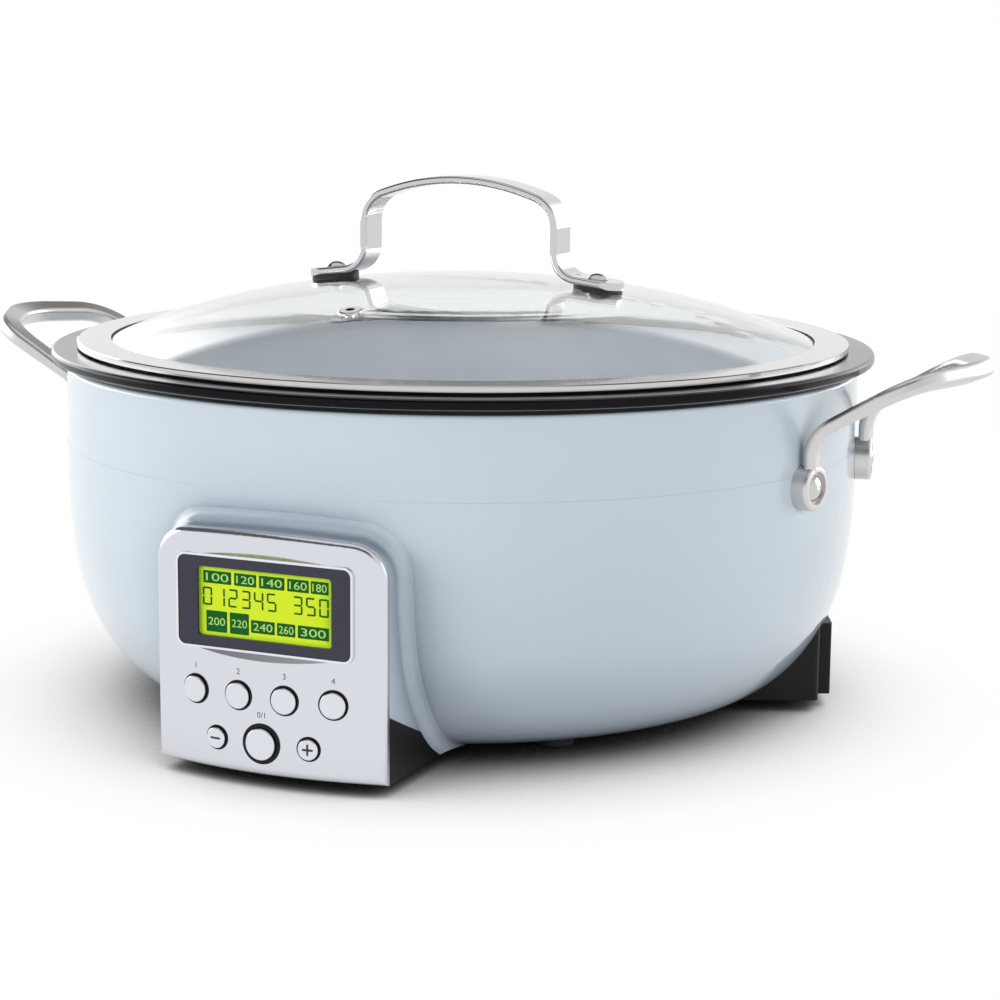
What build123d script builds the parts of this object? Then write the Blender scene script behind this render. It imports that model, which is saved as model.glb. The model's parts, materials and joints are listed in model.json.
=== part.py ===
from build123d import *
import math
import os

# Round countertop multi-cooker with a lift-out pan and a loose glass lid.
# Millimetres, +Z up, origin on the pan's axis where the feet stand, front towards -Y.
os.makedirs("parts", exist_ok=True)

# General values
overrun = 40.0
seat_gap = 0.05
body_gap = 0.3
edge_r = 0.8

# Housing bowl
body_r = 176.0
bowl_h = 143.2
foot_h = 5.5
shell_t = 2.0
floor_inset = 53.0
shell_mouth_step = 1.2
lip_w = 6.0
lip_edge_r = 1.5
bowl_profile_shares = [
    (0.818, 0.051), (0.878, 0.115), (0.922, 0.191), (0.960, 0.287),
    (0.984, 0.413), (0.9975, 0.573), (1.0, 0.760), (0.9975, 1.0),
]
bowl_start_slope = 0.15
floor_r = body_r - floor_inset
shell_mouth_r = floor_r - shell_mouth_step
lip_r = body_r - lip_w
shell_top_z = foot_h + bowl_h

# Control pod on the front
pod_reach = 13.0
pod_half_w = 50.5
pod_h = 97.1
pod_corner_r = 15.0
pod_crown = 3.0
pod_blend_r = 6.0
fascia_t = 3.5
fascia_edge_r = 3.0
pod_wall_t = 2.2
chin_length = 75.0
chin_bend_length = 39.0
chin_mid_h = 14.2
chin_front_h = 32.0
pod_r = body_r + pod_reach
chin_rear_y = pod_r - chin_length
chin_mid_y = pod_r - chin_bend_length
pod_top_z = foot_h + pod_h
hood_r = pod_r - fascia_t

# Display
frame_w = 77.6
frame_h = 37.8
frame_rim = 0.9
frame_corner_r = 4.0
frame_setback = 2.2
frame_depth = 4.6
display_rise = 67.2
pocket_slope = 45.0
bezel_setback = 0.4
bezel_t = 1.5
bezel_side_w = 9.3
bezel_end_h = 5.1
window_corner_r = 1.6
lcd_margin = 2.0
lcd_t = 1.6
window_w = frame_w - 2 * bezel_side_w
window_h = frame_h - 2 * bezel_end_h
frame_front_y = pod_r - frame_setback
display_z = foot_h + display_rise

# Push buttons, seen from the front
button_pitch = 20.3
upper_row_rise = 31.5
lower_row_rise = 13.1
button_proud = 1.5
button_travel = 1.2
button_gap = 0.25
cap_edge_r = 0.5
small_cap_r = 5.25
small_ring_r = 6.1
sign_cap_r = 4.2
sign_ring_r = 5.0
start_cap_r = 6.4
start_ring_r = 8.2
collar_proud = 0.2
collar_flange_w = 1.0
collar_flange_t = 1.0
button_flange_t = 0.8
button_stem_r = 1.8
sign_length = 4.6
sign_stroke = 0.9
sign_depth = 0.3
upper_row_z = foot_h + upper_row_rise
lower_row_z = foot_h + lower_row_rise
pitch_shares = {
    "button_preset": (-1.5, 1), "button_menu": (-0.5, 1), "button_time": (0.5, 1),
    "button_temperature": (1.5, 1), "button_minus": (-1.0, 0), "button_start": (0.0, 0),
    "button_plus": (1.0, 0),
}

# Control board behind the fascia
board_setback = 14.9
board_t = 1.6
board_half_w = 44.0
board_low_gap = 6.5
board_high_gap = 3.1
board_gap = 0.4
board_post_r = 3.2
board_post_inset = 4.0
board_post_top_x = 25.0
board_screw_r = 1.3
board_screw_head_r = 2.6
board_screw_head_h = 1.6
board_screw_length = 7.0
switch_w = 6.0
switch_h = 3.4
plunger_r = 1.6
plunger_h = 1.1
controller_w = 12.0
controller_t = 1.8
controller_rise = 50.0
board_y = pod_r - board_setback
board_low_z = foot_h + board_low_gap
board_high_z = pod_top_z - board_high_gap
controller_z = board_low_z + controller_rise

# Fixed well that holds the pan
well_side_gap = 11.0
well_t = 1.2
well_floor_rise = 30.5
well_corner_r = 34.0
well_flange_t = 2.8
well_flange_inset = 4.0
well_r = body_r - well_side_gap
well_floor_z = foot_h + well_floor_rise
well_flange_r = body_r - well_flange_inset

# Lift-out pan
pan_overhang = 6.5
pan_flange_t = 4.5
pan_flange_edge_r = 1.6
pan_side_gap = 1.3
pan_mouth_edge_r = 1.8
pan_wall_t = 3.0
pan_floor_t = 4.0
pan_floor_lift = 14.0
pan_corner_r = 36.0
pan_draft_run = 4.0
pan_draft_low_h = 40.0
pan_flange_r = body_r + pan_overhang
pan_mouth_r = well_r - well_t - pan_side_gap - pan_wall_t
pan_floor_z = well_floor_z + pan_floor_lift
pan_seat_z = shell_top_z + well_flange_t
pan_top_z = pan_seat_z + pan_flange_t

# Heater and sensor under the pan
heater_r = 92.0
heater_t = 6.5
heater_bore_r = 14.0
heater_top_z = pan_floor_z - body_gap
element_track_r = 72.0
element_r = 3.2
element_gap_angle = 24.0
element_tail = 13.0
element_hole_r = 4.6
heater_post_r = 4.0
heater_post_track_r = 50.0
heater_post_count = 3
sensor_cap_r = 12.0
sensor_cap_t = 3.2
sensor_stem_r = 5.0
sensor_stem_length = 20.0
sensor_guide_gap = 0.3
clip_r = 8.0
clip_t = 1.0
spring_track_r = 8.4
spring_wire_r = 0.6
spring_turns = 3.0
fuse_r = 2.0
fuse_length = 14.0
fuse_x = 46.0
fuse_y = -52.0

# Underside
plate_gap = 0.2
plate_t = 2.5
rubber_r = 8.25
rubber_low_r = 7.4
rubber_edge_gap = 2.05
rubber_turn = 45.0
rubber_neck_r = 3.5
rubber_barb_r = 4.6
rubber_barb_h = 2.0
rubber_count = 4
column_r = 5.0
column_edge_gap = 16.8
column_count = 4
screw_r = 1.9
screw_gap = 0.1
screw_length = 14.0
screw_head_r = 3.6
screw_head_h = 1.3
rubber_track_r = shell_mouth_r - rubber_r - rubber_edge_gap
column_track_r = shell_mouth_r - column_r - column_edge_gap

# Power electronics on the underside plate
power_board_x = 118.0
power_board_y = 64.0
power_board_t = 1.6
power_board_column_gap = 13.0
power_board_lift = 6.0
power_post_r = 3.0
power_post_inset = 6.0
transformer_w = 30.0
transformer_d = 26.0
transformer_h = 16.0
winding_over = 3.0
relay_w = 20.0
relay_d = 15.5
relay_h = 15.0
capacitor_r = 6.0
capacitor_h = 15.0
terminal_w = 26.0
terminal_d = 12.0
terminal_h = 11.0
terminal_screw_r = 2.4
terminal_screw_h = 1.0
terminal_pitch = 8.0
part_row_x = 34.0
part_row_y = 12.0
power_board_centre_y = column_track_r - column_r - power_board_column_gap - power_board_y / 2

# Side handles
handle_standoff = 4.0
handle_half_gap = 41.5
handle_rise = 22.0
handle_slope = 29.5
handle_run = 40.8
handle_bow = 20.8
handle_tip_slope = 7.0
handle_bend_r = 15.0
handle_corner_r = 23.0
handle_end_r = 34.0
handle_root_w = 8.8
handle_root_t = 5.0
handle_grip_w = 10.2
handle_grip_t = 6.8
handle_section_r = 2.2
handle_taper_shares = [(0, 0), (0.17, 0.5), (0.3, 1), (0.7, 1), (0.83, 0.5), (1, 0)]
boss_drop = 38.4
boss_r = 9.4
boss_h = 7.0
boss_edge_r = 1.6
boss_recess_r = 6.9
boss_recess_depth = 1.6
handle_rivet_r = 2.6
handle_rivet_head_r = 5.5
handle_rivet_head_h = 2.4
handle_washer_r = 6.5
handle_washer_t = 1.2
handle_leg_x = math.sqrt((body_r + handle_standoff) ** 2 - handle_half_gap ** 2)
handle_corner_x = handle_leg_x + handle_run
handle_tip_x = handle_corner_x + handle_bow
handle_turn = math.degrees(math.atan2(handle_half_gap, handle_leg_x))
boss_z = shell_top_z - boss_drop
handle_rise_z = boss_z + handle_rise
boss_face_r = body_r + boss_h

# Lid
lid_overlap = 11.6
lid_band_w = 14.8
lid_ring_low_gap = 1.1
lid_ring_edge_h = 2.1
lid_ring_slope_h = 0.55
lid_ring_bevel = 0.7
glass_side_gap = 2.0
glass_t = 3.5
glass_rise = 27.1
glass_edge_h = 2.3
glass_power = 2.4
glass_steps = 12
seal_t = 0.35
seal_lip_w = 3.0
seal_wall_t = 0.9
seal_seat_w = 5.5
seal_plug_gap = 0.5
seal_plug_h = 2.5
vent_angle = -96.0
vent_edge_gap = 64.5
vent_flange_r = 5.5
vent_flange_h = 1.3
vent_bore_r = 2.0
vent_tube_r = 3.2
lid_ring_r = pan_mouth_r + lid_overlap
lid_ring_in_r = lid_ring_r - lid_band_w
glass_r = pan_mouth_r - glass_side_gap
seal_seat_r = pan_mouth_r + seal_seat_w
vent_track_r = glass_r - vent_edge_gap

# Lid handle
lid_handle_leg_x = 46.2
lid_handle_foot_length = 29.8
lid_handle_w = 17.0
lid_handle_t = 3.3
lid_handle_edge_r = 1.1
lid_handle_foot_slope = 7.0
lid_handle_rivet_inset = 12.5
lid_handle_shoulder_rise = 63.0
lid_handle_peak_rise = 78.3
lid_handle_arch_r = 105.0
lid_handle_shoulder_r = 14.0
lid_handle_foot_r = 11.0
lid_pad_t = 2.0
lid_pad_length = 22.0
lid_pad_w = 15.0
lid_rivet_r = 2.4
lid_rivet_head_r = 4.7
lid_rivet_head_h = 2.2
lid_washer_r = 7.0
lid_washer_t = 1.0
dimple_step = 8.5
dimple_r = 2.0
dimple_depth = 0.5
lid_handle_foot_x = lid_handle_leg_x + lid_handle_foot_length
lid_handle_rivet_x = lid_handle_foot_x - lid_handle_rivet_inset
lid_handle_shoulder_z = pan_top_z + lid_handle_shoulder_rise
lid_handle_peak_z = pan_top_z + lid_handle_peak_rise
dimple_x = lid_handle_rivet_x - dimple_step

# Cord wrap brackets behind the sides
bracket_angle = 23.0
bracket_half_w = 50.5
bracket_setback = 18.0
bracket_h = 33.0
bracket_edge_r = 2.5
wrap_half_w = 42.0
wrap_t = 6.0
wrap_lift = 1.0
wrap_edge_r = 1.2
bracket_reach = body_r - bracket_setback

# Cord entry at the back
entry_half_w = 32.0
entry_h = 40.0
entry_wall_t = 2.5
entry_corner_r = 9.0
entry_edge_r = 2.0
gland_rise = 18.5
gland_r = 8.0
gland_bore_r = 3.7
gland_length = 9.0
gland_flange_r = 10.5
gland_flange_t = 2.0
entry_hole_r = 6.0
entry_r = pod_r + button_proud
gland_z = foot_h + gland_rise


def lathe(*points):
    """Solid turned about the Z axis from a closed outline of (radius, height) points."""
    outline = Polyline(*[(r, 0, z) for r, z in points], close=True)
    return revolve(Face(Wire(outline.edges())), Axis.Z)


def tube(outer_r, inner_r, low_z, high_z):
    """Upright ring between two heights."""
    return lathe((inner_r, low_z), (outer_r, low_z), (outer_r, high_z), (inner_r, high_z))


def disc(radius, low_z, high_z):
    """Upright round plate or pin between two heights."""
    return lathe((0, low_z), (radius, low_z), (radius, high_z), (0, high_z))


def block(low, high):
    """Box between two corners."""
    size = [b - a for a, b in zip(low, high)]
    middle = [(a + b) / 2 for a, b in zip(low, high)]
    return Pos(*middle) * Box(*size)


def around(shape, count, start=0.0):
    """Copies of a shape, evenly turned about the Z axis."""
    return [Rot(0, 0, start + 360 * i / count) * shape for i in range(count)]


def group(shapes):
    """Separate solids kept together in one piece."""
    return Compound(children=[solid for shape in shapes for solid in shape.solids()])


def edges_on_round(shape, radius):
    """Edges of a shape that lie on an upright round of the given radius."""
    def off_round(edge, share):
        place = edge @ share
        return abs(math.hypot(place.X, place.Y) - radius)
    edge_shares = (0, 0.5, 1)
    return [edge for edge in shape.edges() if max(off_round(edge, s) for s in edge_shares) < seat_gap]


def bowl(inset=0.0):
    """Filled bowl of the housing, drawn in from its outer surface by the inset."""
    low_z = foot_h + inset
    rise = bowl_h - 2 * inset
    points = [(floor_r - inset, 0, low_z)]
    for r_share, z_share in bowl_profile_shares:
        points.append((body_r * r_share - inset, 0, low_z + rise * z_share))
    wall = Spline(*points, tangents=[(1, 0, bowl_start_slope), (-bowl_start_slope / overrun, 0, 1)])
    high_z = low_z + rise
    top = Line(points[-1], (0, 0, high_z))
    axis = Line((0, 0, high_z), (0, 0, low_z))
    bottom = Line((0, 0, low_z), points[0])
    return revolve(Face(Wire([wall.edge(), top.edge(), axis.edge(), bottom.edge()])), Axis.Z)


def pod_block(inset, front_r):
    """Block of the control pod from the axis to a round front of the given radius."""
    x = pod_half_w - inset
    low = foot_h + inset
    high = pod_top_z - inset
    side = high - pod_crown
    sides = Polyline((-x, 0, side), (-x, 0, low), (x, 0, low), (x, 0, side))
    crown = ThreePointArc((x, 0, side), (0, 0, high), (-x, 0, side))
    outline = Face(Wire(sides.edges() + crown.edges()))
    outline = outline.fillet_2d(pod_corner_r - inset, outline.vertices().group_by(Axis.Z)[-1])
    front = disc(front_r, foot_h - overrun, pod_top_z + overrun)
    return extrude(outline, pod_r + overrun, dir=(0, -1, 0)) & front


def chin():
    """Wedge under the pod that the dark base part fills."""
    rear = (0, -chin_rear_y, foot_h)
    middle = (0, -chin_mid_y, foot_h + chin_mid_h)
    front = (0, -pod_r, foot_h + chin_front_h)
    low_front = (0, -pod_r, foot_h)
    edges = [
        ThreePointArc(rear, middle, front).edge(),
        Line(front, low_front).edge(),
        Line(low_front, rear).edge(),
    ]
    return extrude(Face(Wire(edges)), pod_half_w, dir=(1, 0, 0), both=True)


def housing_shell():
    """Painted bowl with the hood that runs round the control pod."""
    outer = bowl() + pod_block(0, hood_r)
    joint_edges = [
        edge for edge in outer.edges()
        if math.hypot(edge.center().X, edge.center().Y) < body_r + seat_gap
        and edge.center().Y < -floor_r / 2 and edge.center().Z > foot_h + seat_gap
        and edge.center().Z < pod_top_z + pod_blend_r
    ]
    outer = fillet(joint_edges, pod_blend_r)
    outer = fillet(outer.edges().group_by(Axis.Z)[-1], lip_edge_r)
    inner = bowl(shell_t) + pod_block(pod_wall_t, pod_r)
    shell = outer - inner
    shell -= disc(shell_mouth_r, foot_h - overrun, foot_h + overrun / 4)
    shell -= disc(lip_r, shell_top_z - overrun / 4, shell_top_z + overrun)
    shell -= chin()
    bore = disc(handle_rivet_r + seat_gap, body_r / 2, body_r + overrun)
    bores = [rivet_axis(side, end) * bore for side in (-1, 1) for end in (-1, 1)]
    inlet = Pos(0, body_r, gland_z) * Rot(90, 0, 0) * disc(entry_hole_r, -overrun, overrun)
    return shell - bores - inlet


def control_fascia():
    """Bright front of the pod with its display pocket and button holes."""
    plate = pod_block(0, pod_r)
    plate = fillet(edges_on_round(plate, pod_r), fascia_edge_r)
    plate -= disc(hood_r, foot_h - overrun, pod_top_z + overrun)
    pocket = Plane.XZ * Pos(0, display_z, frame_front_y) * frame_outline(0)
    plate -= extrude(pocket, pod_r - frame_front_y + fascia_t, taper=-pocket_slope)
    plate -= display_prism(-seat_gap, frame_front_y - overrun, frame_front_y)
    for x, z in board_corners():
        front_y = math.sqrt((pod_r - fascia_edge_r) ** 2 - x * x)
        plate += along_y(board_post_r, x, z, board_y, front_y)
        plate -= along_y(board_screw_r + seat_gap, x, z, board_y - board_t, board_y + board_screw_length)
    for name in pitch_shares:
        ring_r = button_sizes(name)[1]
        plate -= button_plane(name) * disc(ring_r + seat_gap, -overrun / 4, overrun / 4)
    return plate


def frame_outline(inset):
    """Outline of the display frame, drawn in by the inset."""
    return RectangleRounded(frame_w - 2 * inset, frame_h - 2 * inset, frame_corner_r - inset)


def display_prism(inset, rear_y, front_y):
    """Straight block behind the display's outline, between two distances from the axis."""
    outline = Plane.XZ * Pos(0, display_z, rear_y) * frame_outline(inset)
    return extrude(outline, front_y - rear_y)


def window_prism(width, height, rear_y, front_y):
    """Straight block behind the display's window."""
    outline = Plane.XZ * Pos(0, display_z, rear_y) * RectangleRounded(width, height, window_corner_r)
    return extrude(outline, front_y - rear_y)


def along_y(radius, x, z, rear_y, front_y):
    """Round pin that runs forward between two distances from the axis."""
    return Pos(x, 0, z) * Rot(90, 0, 0) * disc(radius, rear_y, front_y)


def board_corners():
    """Places of the four posts that carry the control board."""
    low = (board_half_w - board_post_inset, board_low_z + board_post_inset)
    high = (board_post_top_x, board_high_z - board_post_inset)
    return [(side * x, z) for side in (-1, 1) for x, z in (low, high)]


def display_pieces():
    """Rim, dark bezel, screen and light box of the display."""
    bezel_y = frame_front_y - bezel_setback
    lcd_y = bezel_y - bezel_t
    light_y = lcd_y - lcd_t
    rim = display_prism(0, frame_front_y - frame_depth, frame_front_y)
    rim -= display_prism(frame_rim, frame_front_y - overrun, frame_front_y + overrun)
    bezel = display_prism(frame_rim + seat_gap, lcd_y, bezel_y)
    bezel -= window_prism(window_w, window_h, lcd_y - overrun, bezel_y + overrun)
    lcd_w = window_w + 2 * lcd_margin
    lcd_h = window_h + 2 * lcd_margin
    panel = window_prism(lcd_w, lcd_h, light_y, lcd_y)
    light = window_prism(lcd_w, lcd_h, board_y, light_y)
    return {"display_frame": rim, "display_bezel": bezel, "lcd_panel": panel, "lcd_light_box": light}


def button_sizes(name):
    """Radius of a button's cap and of the dark ring around it."""
    if name == "button_start":
        return start_cap_r, start_ring_r
    if name in ("button_minus", "button_plus"):
        return sign_cap_r, sign_ring_r
    return small_cap_r, small_ring_r


def button_turn(name):
    """Angle of a button round the pod, positive to the right."""
    return pitch_shares[name][0] * button_pitch / pod_r


def button_plane(name):
    """Frame of a button on the pod's face, with its z axis pointing outward."""
    turn = button_turn(name)
    out = (math.sin(turn), -math.cos(turn), 0)
    z = upper_row_z if pitch_shares[name][1] else lower_row_z
    return Plane((pod_r * out[0], pod_r * out[1], z), x_dir=(-out[1], out[0], 0), z_dir=out)


def collar_back():
    """Depth behind the pod's face at which a button's collar ends."""
    return fascia_t + button_gap + collar_flange_t


def button_collar(name):
    """Dark ring that guides a button, with a flange behind the fascia."""
    cap_r, ring_r = button_sizes(name)
    bore_r = cap_r + button_gap
    ring = tube(ring_r, bore_r, -collar_back(), collar_proud)
    ring += tube(ring_r + collar_flange_w, bore_r, -collar_back(), collar_flange_t - collar_back())
    return button_plane(name) * ring


def button(name):
    """Push button with its cap, stop flange and stem."""
    cap_r, ring_r = button_sizes(name)
    turn = button_turn(name)
    stop_z = -(collar_back() + body_gap)
    low_z = stop_z - button_flange_t
    switch_top = (board_y + switch_h + plunger_h) / math.cos(turn)
    stem_end = switch_top + button_travel + body_gap + button_stem_r * math.tan(abs(turn)) - pod_r
    cap = disc(cap_r, low_z, button_proud)
    cap = fillet(cap.edges().group_by(Axis.Z)[-1], cap_edge_r)
    cap += disc(ring_r, low_z, stop_z)
    cap += disc(button_stem_r, stem_end, stop_z)
    if name in ("button_minus", "button_plus"):
        bars = [(sign_length, sign_stroke)]
        if name == "button_plus":
            bars.append((sign_stroke, sign_length))
        for bar_w, bar_h in bars:
            low = (-bar_w / 2, -bar_h / 2, button_proud - sign_depth)
            cap -= block(low, (bar_w / 2, bar_h / 2, button_proud + sign_depth))
    return button_plane(name) * cap


def key_switch(name):
    """Key switch on the control board behind one button."""
    x = board_y * math.tan(button_turn(name))
    z = button_plane(name).origin.Z
    half = switch_w / 2
    body = block((x - half, -board_y - switch_h, z - half), (x + half, -board_y, z + half))
    return body + along_y(plunger_r, x, z, board_y + switch_h, board_y + switch_h + plunger_h)


def control_board():
    """Board that carries the switches and the display."""
    low = (-board_half_w, -board_y, board_low_z)
    board = block(low, (board_half_w, board_t - board_y, board_high_z))
    board &= pod_block(pod_wall_t + board_gap, pod_r)
    for x, z in board_corners():
        board -= along_y(board_screw_r + seat_gap, x, z, board_y - overrun / 4, board_y + overrun / 4)
    return board


def board_screw(x, z):
    """Screw through the control board into a post of the fascia."""
    rear_y = board_y - board_t
    head = along_y(board_screw_head_r, x, z, rear_y - board_screw_head_h, rear_y)
    return head + along_y(board_screw_r, x, z, rear_y, board_y + board_screw_length - board_screw_r)


def controller_chip():
    """Controller on the back of the control board."""
    half = controller_w / 2
    rear_y = board_y - board_t
    low = (-half, -rear_y, controller_z - half)
    return block(low, (half, controller_t - rear_y, controller_z + half))


def pod_base():
    """Dark base part under the pod, flush with the hood's sides."""
    part = pod_block(0, hood_r) & chin()
    part -= pod_block(pod_wall_t, pod_r)
    return part - disc(shell_mouth_r, foot_h - overrun, foot_h + overrun)


def pan_outline(inset, floor_z, mouth_z):
    """Turned body of the pan or of its inner space, up to the given height."""
    side_r = pan_mouth_r + pan_wall_t - inset - pan_draft_run
    side_z = pan_floor_z + pan_draft_low_h
    mouth_r = side_r + pan_draft_run * (mouth_z - side_z) / (pan_top_z - side_z)
    corner_r = pan_corner_r - inset
    path = FilletPolyline(
        (0, 0, floor_z), (side_r, 0, floor_z), (side_r, 0, side_z), radius=corner_r,
    )
    closing = Polyline((side_r, 0, side_z), (mouth_r, 0, mouth_z), (0, 0, mouth_z), (0, 0, floor_z))
    return revolve(Face(Wire(path.edges() + closing.edges())), Axis.Z)


def pan():
    """Deep round pan with a wide flat flange."""
    solid = pan_outline(0, pan_floor_z, pan_top_z)
    flange = disc(pan_flange_r, pan_seat_z, pan_top_z)
    solid += fillet(flange.edges(), pan_flange_edge_r)
    solid -= pan_outline(pan_wall_t, pan_floor_z + pan_floor_t, pan_top_z + overrun)
    mouth = [
        edge for edge in solid.edges()
        if abs(edge.center().Z - pan_top_z) < seat_gap and edge.radius < pan_mouth_r + pan_wall_t
    ]
    return fillet(mouth, pan_mouth_edge_r)


def well_outline(inset):
    """Turned body of the well, drawn in by the inset and open upward."""
    side_r = well_r - inset
    floor_z = well_floor_z + inset
    path = FilletPolyline(
        (0, 0, floor_z), (side_r, 0, floor_z), (side_r, 0, pan_seat_z), radius=well_corner_r - inset,
    )
    closing = Polyline((side_r, 0, pan_seat_z), (0, 0, pan_seat_z), (0, 0, floor_z))
    return revolve(Face(Wire(path.edges() + closing.edges())), Axis.Z)


def inner_well():
    """Thin metal well that hangs by its flange on the shell's lip."""
    well = well_outline(0) + disc(well_flange_r, shell_top_z, pan_seat_z)
    well -= well_outline(well_t)
    well -= disc(sensor_stem_r + sensor_guide_gap, well_floor_z - overrun, pan_floor_z)
    for x, y in element_ends():
        well -= Pos(x, y) * disc(element_hole_r, well_floor_z - overrun, pan_floor_z)
    return well


def element_ends():
    """Places where the heating element turns down."""
    turn = math.radians(element_gap_angle / 2)
    x = element_track_r * math.sin(turn)
    y = element_track_r * math.cos(turn)
    return [(-x, y), (x, y)]


def heating_plate():
    """Round plate under the pan with a groove for the element."""
    low_z = heater_top_z - heater_t
    plate = tube(heater_r, heater_bore_r, low_z, heater_top_z)
    plate = fillet(plate.edges().group_by(Axis.Z)[-1].sort_by(SortBy.RADIUS)[-1], edge_r)
    return plate - Pos(0, 0, low_z) * Torus(element_track_r, element_r + seat_gap)


def heating_element():
    """Bent tube heater, seated half deep in the plate, with two ends turned down."""
    mid_z = heater_top_z - heater_t
    section = Plane.XZ * Pos(element_track_r, mid_z) * Circle(element_r)
    sweep_angle = 360 - element_gap_angle
    ring = Rot(0, 0, 90 + element_gap_angle / 2) * revolve(section, Axis.Z, sweep_angle)
    tails = [Pos(x, y) * disc(element_r, mid_z - element_tail, mid_z) for x, y in element_ends()]
    return ring + [Pos(x, y, mid_z) * Sphere(element_r) for x, y in element_ends()] + tails


def temperature_sensor():
    """Sprung button that feels the pan's underside."""
    low_z = heater_top_z - sensor_cap_t
    cap = fillet(disc(sensor_cap_r, low_z, heater_top_z).edges().group_by(Axis.Z)[-1], edge_r)
    return cap + disc(sensor_stem_r, heater_top_z - sensor_stem_length, low_z)


def sensor_clip():
    """Ring on the sensor's stem that stops it under the well's floor."""
    high_z = well_floor_z - body_gap
    return tube(clip_r, sensor_stem_r, high_z - clip_t, high_z)


def sensor_spring():
    """Coil spring between the well's floor and the sensor's cap."""
    low_z = well_floor_z + well_t + spring_wire_r + seat_gap
    high_z = heater_top_z - sensor_cap_t - spring_wire_r - seat_gap
    coil = Helix((high_z - low_z) / spring_turns, high_z - low_z, spring_track_r)
    section = Plane(coil @ 0, z_dir=coil % 0) * Circle(spring_wire_r)
    return Pos(0, 0, low_z) * sweep(section, coil, is_frenet=True)


def base_plate():
    """Underside plate with bosses for the power board and holes for feet and screws."""
    high_z = foot_h + plate_t
    plate = disc(shell_mouth_r - plate_gap, foot_h, high_z)
    for x, y in power_corners():
        plate += Pos(x, y) * disc(power_post_r, foot_h, high_z + power_board_lift)
    neck = Pos(rubber_track_r) * disc(rubber_neck_r + seat_gap, 0, overrun)
    holes = around(neck, rubber_count, rubber_turn)
    screws = Pos(column_track_r) * disc(screw_r + screw_gap, 0, overrun)
    heads = Pos(column_track_r) * disc(screw_head_r + screw_gap, 0, foot_h + screw_head_h)
    return plate - holes - around(screws, column_count) - around(heads, column_count)


def rubber_foot():
    """Rubber foot pressed through the underside plate."""
    top_z = foot_h + plate_t
    barb_z = top_z + rubber_barb_h
    outline = lathe(
        (0, 0), (rubber_low_r, 0), (rubber_r, edge_r), (rubber_r, foot_h), (rubber_neck_r, foot_h),
        (rubber_neck_r, top_z), (rubber_barb_r, top_z), (rubber_neck_r, barb_z), (0, barb_z),
    )
    return Pos(rubber_track_r) * outline


def column():
    """Column between the underside plate and the well's floor."""
    low_z = foot_h + plate_t
    post = disc(column_r, low_z, well_floor_z)
    bore_z = foot_h + screw_head_h + screw_length + screw_gap
    return Pos(column_track_r) * (post - disc(screw_r + screw_gap, low_z, bore_z))


def base_screw():
    """Screw through the underside plate into a column."""
    low_z = foot_h + screw_head_h
    head = disc(screw_head_r, foot_h, low_z)
    return Pos(column_track_r) * (head + disc(screw_r, low_z, low_z + screw_length))


def power_corners():
    """Places of the bosses under the power board."""
    x = power_board_x / 2 - power_post_inset
    y = power_board_y / 2 - power_post_inset
    return [(sx * x, power_board_centre_y + sy * y) for sx in (-1, 1) for sy in (-1, 1)]


def power_pieces():
    """Power board with what stands on it."""
    low_z = foot_h + plate_t + power_board_lift
    top_z = low_z + power_board_t
    half_x = power_board_x / 2
    half_y = power_board_y / 2
    mid_y = power_board_centre_y
    board = block((-half_x, mid_y - half_y, low_z), (half_x, mid_y + half_y, top_z))
    core = on_board(-part_row_x, mid_y + part_row_y, top_z, transformer_w, transformer_d, transformer_h)
    winding_h = transformer_h - winding_over
    winding = on_board(-part_row_x, mid_y + part_row_y, top_z, transformer_w - 2 * winding_over,
                       transformer_d + 2 * winding_over, winding_h)
    relay = on_board(part_row_x, mid_y + part_row_y, top_z, relay_w, relay_d, relay_h)
    cans = [Pos(x, mid_y - part_row_y) * disc(capacitor_r, top_z, top_z + capacitor_h)
            for x in (-part_row_x, capacitor_r * 3 - part_row_x)]
    terminal = on_board(part_row_x, mid_y - part_row_y, top_z, terminal_w, terminal_d, terminal_h)
    screws = [Pos(part_row_x + i * terminal_pitch, mid_y - part_row_y)
              * disc(terminal_screw_r, top_z + terminal_h, top_z + terminal_h + terminal_screw_h)
              for i in (-1, 0, 1)]
    return {
        "power_board": board, "transformer": core + winding, "power_relay": relay,
        "capacitors": group(cans), "terminal_block": terminal, "terminal_screws": group(screws),
    }


def on_board(x, y, low_z, width, depth, height):
    """Boxed component centred on a place of the board."""
    low = (x - width / 2, y - depth / 2, low_z)
    return block(low, (x + width / 2, y + depth / 2, low_z + height))


def thermal_fuse():
    """Small round fuse against the underside of the well's floor."""
    z = well_floor_z - fuse_r
    return Pos(fuse_x - fuse_length / 2, fuse_y, z) * Rot(0, 90, 0) * disc(fuse_r, 0, fuse_length)


def rivet_axis(side, end):
    """Frame of a side handle's rivet at the pan's axis, with its z axis pointing outward."""
    turn = end * handle_turn if side > 0 else 180 - end * handle_turn
    return Pos(0, 0, boss_z) * Rot(0, 0, turn) * Rot(0, 90, 0)


def handle_section(path, place_share, grip_share):
    """Section of a side handle at a share of its path, between the root's size and the grip's."""
    slope = math.radians(handle_slope)
    tangent = path % place_share
    across = Vector(-math.sin(slope), 0, math.cos(slope)).cross(tangent)
    width = handle_root_w + (handle_grip_w - handle_root_w) * grip_share
    thickness = handle_root_t + (handle_grip_t - handle_root_t) * grip_share
    outline = RectangleRounded(width, thickness, handle_section_r)
    return Plane(path @ place_share, x_dir=across, z_dir=tangent) * outline


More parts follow.
